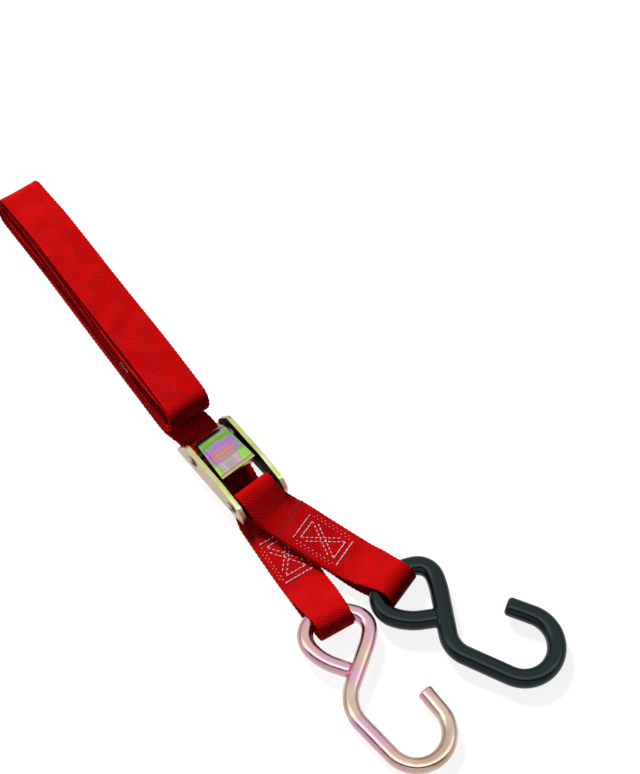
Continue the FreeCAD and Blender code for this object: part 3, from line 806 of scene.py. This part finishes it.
def hook_tube(name, hook, radius, ends, around, sink):
    """Round bar along a hook's centre line. ends gives rings of (inset, radius) for each end,
    and sink is how far the eye's cut end runs on into the shank."""
    legs = [("line", hook["butt"])] + EYE
    closes = trace(legs, EYE_START)[0][-1]
    line, headings = trace(legs + hook["bends"] + [("line", hook["tip"])], EYE_START)
    line = line - closes
    heading = np.radians(headings)
    ahead = np.stack([np.cos(heading), np.sin(heading)], 1)
    stations = [(line[0] - ahead[0] * sink + ahead[0] * inset, ahead[0], r) for inset, r in ends[0]]
    stations += [(p, a, radius) for p, a in zip(line[1:-1], ahead[1:-1])
                 if np.linalg.norm(p - line[0]) > ends[0][-1][0] + 0.2
                 and np.linalg.norm(p - line[-1]) > ends[1][-1][0] + 0.2]
    stations += [(line[-1] - ahead[-1] * inset, ahead[-1], r) for inset, r in reversed(ends[1])]
    points = []
    for centre, way, r in stations:
        for j in range(around):
            a = 2 * math.pi * j / around
            side = np.array([-way[1], way[0]]) * math.cos(a) * r
            points.append((centre[0] + side[0], centre[1] + side[1], math.sin(a) * r))
    points = np.array(points)
    pitch = math.asin((hook["bar_z"] - radius) / (FLOOR_REST - BAR_APEX))
    x, z = points[:, 0] - BAR_APEX, points[:, 2].copy()
    points[:, 0] = BAR_APEX + x * math.cos(pitch) + z * math.sin(pitch)
    points[:, 2] = -x * math.sin(pitch) + z * math.cos(pitch) + hook["bar_z"]
    yaw = math.radians(hook["yaw"])
    x, y = points[:, 0].copy(), points[:, 1].copy()
    points[:, 0] = hook["at"][0] + x * math.cos(yaw) - y * math.sin(yaw)
    points[:, 1] = hook["at"][1] + x * math.sin(yaw) + y * math.cos(yaw)
    return new_object(name, points, ring_faces(len(stations), around))


def plated_hook():
    cut = [(0.0, STEEL_R - 0.9), (0.12, STEEL_R - 0.6), (0.62, STEEL_R - 0.08), (0.95, STEEL_R)]
    obj = hook_tube("zinc_hook", PLATED, STEEL_R, (cut, cut), 44, sink=1.5)
    obj.data.set_sharp_from_angle(angle=math.radians(50))
    dress(obj, hook_zinc)
    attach(obj, "open_hook")
    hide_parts("plated_hook")


def coated_hook():
    """The dipped skin, fused where the eye's end meets the shank, with a rounded tip."""
    r = COAT_R
    tip = [(2.2 * (1 - math.sin(a)), r - 2.2 * (1 - math.cos(a)))
           for a in np.radians([90, 70, 50, 30, 10, 0])]
    butt = [(0.0, r - 0.3), (0.5, r)]
    obj = hook_tube("dipped_hook_skin", COATED, r, (butt, tip), 40, sink=1.2)
    remesh = obj.modifiers.new("fuse", "REMESH")
    remesh.mode = "VOXEL"
    remesh.voxel_size = 0.42 * MM
    smooth = obj.modifiers.new("flow", "SMOOTH")
    smooth.factor, smooth.iterations = 0.5, 9
    bpy.context.view_layer.update()
    graph = bpy.context.evaluated_depsgraph_get()
    mesh = bpy.data.meshes.new_from_object(obj.evaluated_get(graph))
    obj.modifiers.clear()
    obj.data = mesh
    mesh.shade_smooth()
    dress(obj, vinyl)
    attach(obj, "dipped_hook")
    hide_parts("coated_hook_coating")


plated_hook()
coated_hook()
dress(frame["nodes"]["coated_hook_core"], core_steel)


# ================================================================ buckle
def buckle_plate():
    """The stamped channel with its edges broken."""
    source = frame["nodes"]["buckle_frame"].data
    points = np.array([v.co for v in source.vertices]) / MM
    faces = [tuple(p.vertices) for p in source.polygons]
    obj = finish_hard(new_object("buckle_plate", points, faces), 0.32)
    dress(obj, frame_zinc)
    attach(obj, "buckle")
    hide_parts("buckle_frame")


def rivet(name, pin, radius, node):
    """A pin whose ends are staked over the ears: a low head round a sunken, ringed middle.
    The profile gives radius and distance from the buckle's middle."""
    head = [(0.0, 15.98), (0.75, 15.95), (1.15, 16.06), (1.35, 16.28), (1.75, 16.42), (2.5, 16.36),
            (3.05, 16.12), (3.35, 15.84), (3.42, EAR_OUT + 0.01), (radius, EAR_OUT + 0.01)]
    profile = head + [(radius, 0.0)]
    profile = [(r, y) for r, y in profile] + [(r, -y) for r, y in reversed(profile[:-1])]
    around = 40
    points = [(pin[0] + max(r, 0.001) * math.cos(a), y, pin[2] + max(r, 0.001) * math.sin(a))
              for r, y in profile for a in np.linspace(0, 2 * math.pi, around, endpoint=False)]
    obj = new_object(name, points, ring_faces(len(profile), around))
    obj.data.set_sharp_from_angle(angle=math.radians(42))
    dress(obj, pin_zinc)
    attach(obj, "buckle")
    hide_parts(node)


PLATE_TOP = 19.8                   # height of the thumb plate
LEVER_HALF, LEVER_FLARE = 9.6, 1.7  # half width at the pin, and what it gains at the front
DRUM_R = 7.2                       # plain part of the drum round the pin
TEETH, TOOTH_PITCH, FIRST_TOOTH = 7, 10.0, -30.0
TOOTH_R, TOOTH_DEPTH = 8.58, 1.0
CAM_RISE = 0.012                   # what the teeth gain per degree, so that the lobe grips


def lever_half(x):
    """Half width of the lever at a place along it."""
    share = (x - CAM_PIN[0]) / (LEVER_FRONT - CAM_PIN[0])
    return LEVER_HALF + LEVER_FLARE * min(max(share, 0.0), 1.0)


def lever_outline():
    """Side outline of the lever: thumb plate with its folded lip, rolled back, toothed lobe."""
    cx, cz = CAM_PIN[0], CAM_PIN[2]
    top, front = PLATE_TOP, LEVER_FRONT
    points = [(front, top), (front, top - 3.4), (front - 3.0, top - 3.4), (front - 3.0, top - 1.9),
              (front - 8, top - 1.9), (front - 10.5, top - 2.5), (front - 12.4, top - 3.8),
              (cx + 7.6, cz + 1.6)]
    points += arc(cx, cz, DRUM_R, 4, -50)
    for i in range(TEETH):
        for part, drop in ((0.0, TOOTH_DEPTH), (0.75, 0.0)):
            angle = FIRST_TOOTH + (i + part) * TOOTH_PITCH
            reach = TOOTH_R + CAM_RISE * max(angle, 0.0) - drop
            turn = math.radians(angle)
            points.append((cx - reach * math.sin(turn), cz - reach * math.cos(turn)))
    points += arc(cx, cz, DRUM_R, 222, 117)
    points += [(cx - 2.75, top - 0.08), (cx - 2.1, top)]
    return points


def lever():
    """The solid lever, and the pressed panel laid on its thumb plate."""
    outline = lever_outline()
    points = [(x, side * lever_half(x), z) for side in (-1, 1) for x, z in outline]
    obj = finish_hard(new_object("cam_lever_plate", points, ring_faces(2, len(outline))), 0.28)
    relief = relief_points()
    rows, columns = relief.shape[:2]
    faces = [(k, k + columns, k + columns + 1, k + 1)
             for i in range(rows - 1) for k in range(i * columns, (i + 1) * columns - 1)]
    panel = new_object("lever_panel", relief.reshape(-1, 3), faces)
    for piece in (obj, panel):
        dress(piece, lever_zinc)
        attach(piece, "lever")
    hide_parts("cam_lever")


def relief_points():
    """The thumb plate's top: a raised panel with rounded corners and plain grip ribs."""
    margin = 0.45
    xs = np.linspace(CAM_PIN[0] - 1.9, LEVER_FRONT - margin, 110)
    shares = np.linspace(-1, 1, 110)
    grid = np.zeros((len(xs), len(shares), 3))
    middle = (xs[0] + xs[-1]) / 2

    def rise(distance, width):
        return 1 / (1 + np.exp(-distance / width * 4))

    for i, x in enumerate(xs):
        half = lever_half(x) - margin
        for j, share in enumerate(shares):
            y = share * half
            inside = min(9.2 - abs(x - middle), half - 2.0 - abs(y))
            corner = math.hypot(max(abs(x - middle) - 7.7, 0), max(abs(y) - half + 3.5, 0))
            z = 0.13 * rise(min(inside, 1.5 - corner), 0.45)
            for rib in (-4.2, -1.4, 1.4, 4.2):
                reach = 0.62 - math.hypot(x - middle - rib, max(abs(y) - 4.6, 0))
                z += 0.14 * rise(reach, 0.55)
            edge = min(i, len(xs) - 1 - i, j, len(shares) - 1 - j)
            grid[i, j] = (x, y, PLATE_TOP + (0.03 + z if edge > 0 else -0.25))
    return grid


def spring():
    """Torsion spring beside the drum: two and a half turns round the pin, and two legs."""
    cx, cz = CAM_PIN[0], CAM_PIN[2]
    turns, radius, wire, pitch, inner_y = 2.5, 3.6, 0.5, 0.72, 10.25
    line = [(cx + 12.4, inner_y, cz + radius + 1.5), (cx + 6.0, inner_y, cz + radius + 0.75),
            (cx + 1.2, inner_y, cz + radius + 0.1)]
    for turn in np.linspace(0, turns, 90):
        t = math.radians(90 + 360 * turn)
        line.append((cx + radius * math.cos(t), inner_y + pitch * turn,
                     cz + radius * math.sin(t)))
    outer_y = line[-1][1]
    line += [(cx - 2.0, outer_y, cz - radius - 0.4), (cx - 6.5, outer_y, cz - radius - 2.1)]
    line = np.array(line)
    ahead = np.gradient(line, axis=0)
    ahead /= np.linalg.norm(ahead, axis=1, keepdims=True)
    around, points = 12, []
    for centre, way in zip(line, ahead):
        side = np.cross(way, (0, 1, 0))
        side /= np.linalg.norm(side)
        up = np.cross(side, way)
        for j in range(around):
            a = 2 * math.pi * j / around
            points.append(centre + wire * (side * math.cos(a) + up * math.sin(a)))
    obj = new_object("lever_spring", points, ring_faces(len(line), around))
    dress(obj, spring_steel)
    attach(obj, "lever")
    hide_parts("cam_spring")


buckle_plate()
rivet("cam_rivet", CAM_PIN, 2.5, "cam_pin")
rivet("anchor_rivet", ANCHOR_PIN, 3.0, "anchor_pin")
lever()
spring()

# ================================================================ stage, light, camera
FLOOR_HALF = 4000.0
FLOOR_DROP = 0.2          # keeps the floor clear of faces that lie on it
floor_corners = [(x * FLOOR_HALF, y * FLOOR_HALF, 0)
                 for x, y in ((-1, -1), (1, -1), (1, 1), (-1, 1))]
floor = new_object("floor", floor_corners, [(0, 1, 2, 3)], smooth=False)
floor.location.z = -FLOOR_DROP * MM
dress(floor, floor_material())
floor.visible_diffuse = floor.visible_glossy = False   # its bounce is the world's lower half

# the camera and the lamps are placed in metres
EYE_AT, LOOK_AT = Vector((0.3315, -0.2115, 0.8388)), Vector((-0.0127, 0.0722, 0.0))
camera = bpy.data.objects.new("camera", bpy.data.cameras.new("camera"))
bpy.context.scene.collection.objects.link(camera)
camera.location = EYE_AT
camera.rotation_euler = (LOOK_AT - EYE_AT).to_track_quat("-Z", "Y").to_euler()
camera.data.lens = 77.33
camera.data.sensor_width = 36.0
camera.data.clip_start, camera.data.clip_end = 0.05, 50.0
bpy.context.scene.camera = camera


def studio_world():
    """A white tent. Mirrors see it pale above and darker at the horizon, above all on the far
    side, with an unlit gap and a bright band on either side of the camera. Rough surfaces see
    it faint, since lamps light them, and the camera sees it plain and pale."""
    world = bpy.data.worlds.new("studio")
    world.use_nodes = True
    bpy.context.scene.world = world
    w = Nodes(world.node_tree)
    direction = w.place("Generated")
    height = w.ease(w.split(direction)[2], -1.0, 1.0)
    far_side = w.ramp(height, [(0.0, 1.00), (0.40, 0.88), (0.50, 0.44), (0.62, 0.44),
                               (0.75, 0.86), (1.0, 0.96)])
    near_side = w.ramp(height, [(0.0, 0.94), (0.5, 0.70), (0.64, 0.62), (0.8, 0.90), (1.0, 0.96)])
    soft = w.ramp(height, [(0.0, 0.01), (0.5, 0.02), (0.64, 0.03), (0.78, 0.10), (1.0, 0.12)])
    away = (EYE_AT - LOOK_AT).normalized()
    across = Vector((0, 0, 1)).cross(away).normalized()
    over = away.cross(across)

    def cosine(axis):
        return w.node("ShaderNodeVectorMath", {0: direction, 1: axis},
                      operation="DOT_PRODUCT").outputs["Value"]

    def near(axis, centre, inner, outer):
        """1 where the cosine to an axis is within inner of a centre, and 0 from outer on."""
        off = w.math("ABSOLUTE", w.math("SUBTRACT", cosine(axis), centre))
        return w.ease(off, inner, outer, 1.0, 0.0, interpolation_type="SMOOTHSTEP")

    level_away = Vector((away.x, away.y, 0)).normalized()
    side = w.ease(cosine(level_away), -0.25, 0.35, interpolation_type="SMOOTHSTEP")
    mirrored = w.node("ShaderNodeMix", {0: side, 2: far_side, 3: near_side}).outputs[0]
    gap = w.math("MULTIPLY", near(over, -0.22, 0.12, 0.21), near(away, 1.0, 0.35, 0.60))
    gapped = w.math("MULTIPLY", mirrored, w.ease(gap, 0.0, 1.0, 1.0, 0.04))
    band = w.math("MULTIPLY", near(over, 0.22, 0.10, 0.30), near(away, 1.0, 0.30, 0.75))
    bright = w.math("MULTIPLY_ADD", band, 1.25, gapped)
    rays = w.node("ShaderNodeLightPath").outputs
    level = w.node("ShaderNodeMix", {0: rays["Is Glossy Ray"], 2: soft, 3: bright}).outputs[0]
    tent = w.node("ShaderNodeBackground", {"Strength": level}).outputs[0]
    plain = w.node("ShaderNodeBackground", {"Color": (0.97, 0.97, 0.97, 1)}).outputs[0]
    shown = w.node("ShaderNodeMixShader", {0: rays["Is Camera Ray"], 1: tent, 2: plain})
    w.node("ShaderNodeOutputWorld", {0: shown.outputs[0]})


def soft_light(name, place, size, power):
    """A square lamp, turned towards the object's middle."""
    light = bpy.data.lights.new(name, "AREA")
    light.shape, light.size, light.energy = "SQUARE", size, power
    obj = bpy.data.objects.new(name, light)
    bpy.context.scene.collection.objects.link(obj)
    obj.location = place
    obj.rotation_euler = (-Vector(place)).to_track_quat("-Z", "Y").to_euler()
    obj.visible_glossy = False   # the tent's own reflection is the highlight


studio_world()
soft_light("key", (-1.95, 0.41, 1.65), 0.52, 92.0)
soft_light("side", (-0.30, -1.48, 0.30), 0.5, 8.0)
bpy.context.scene.view_settings.view_transform = "Standard"
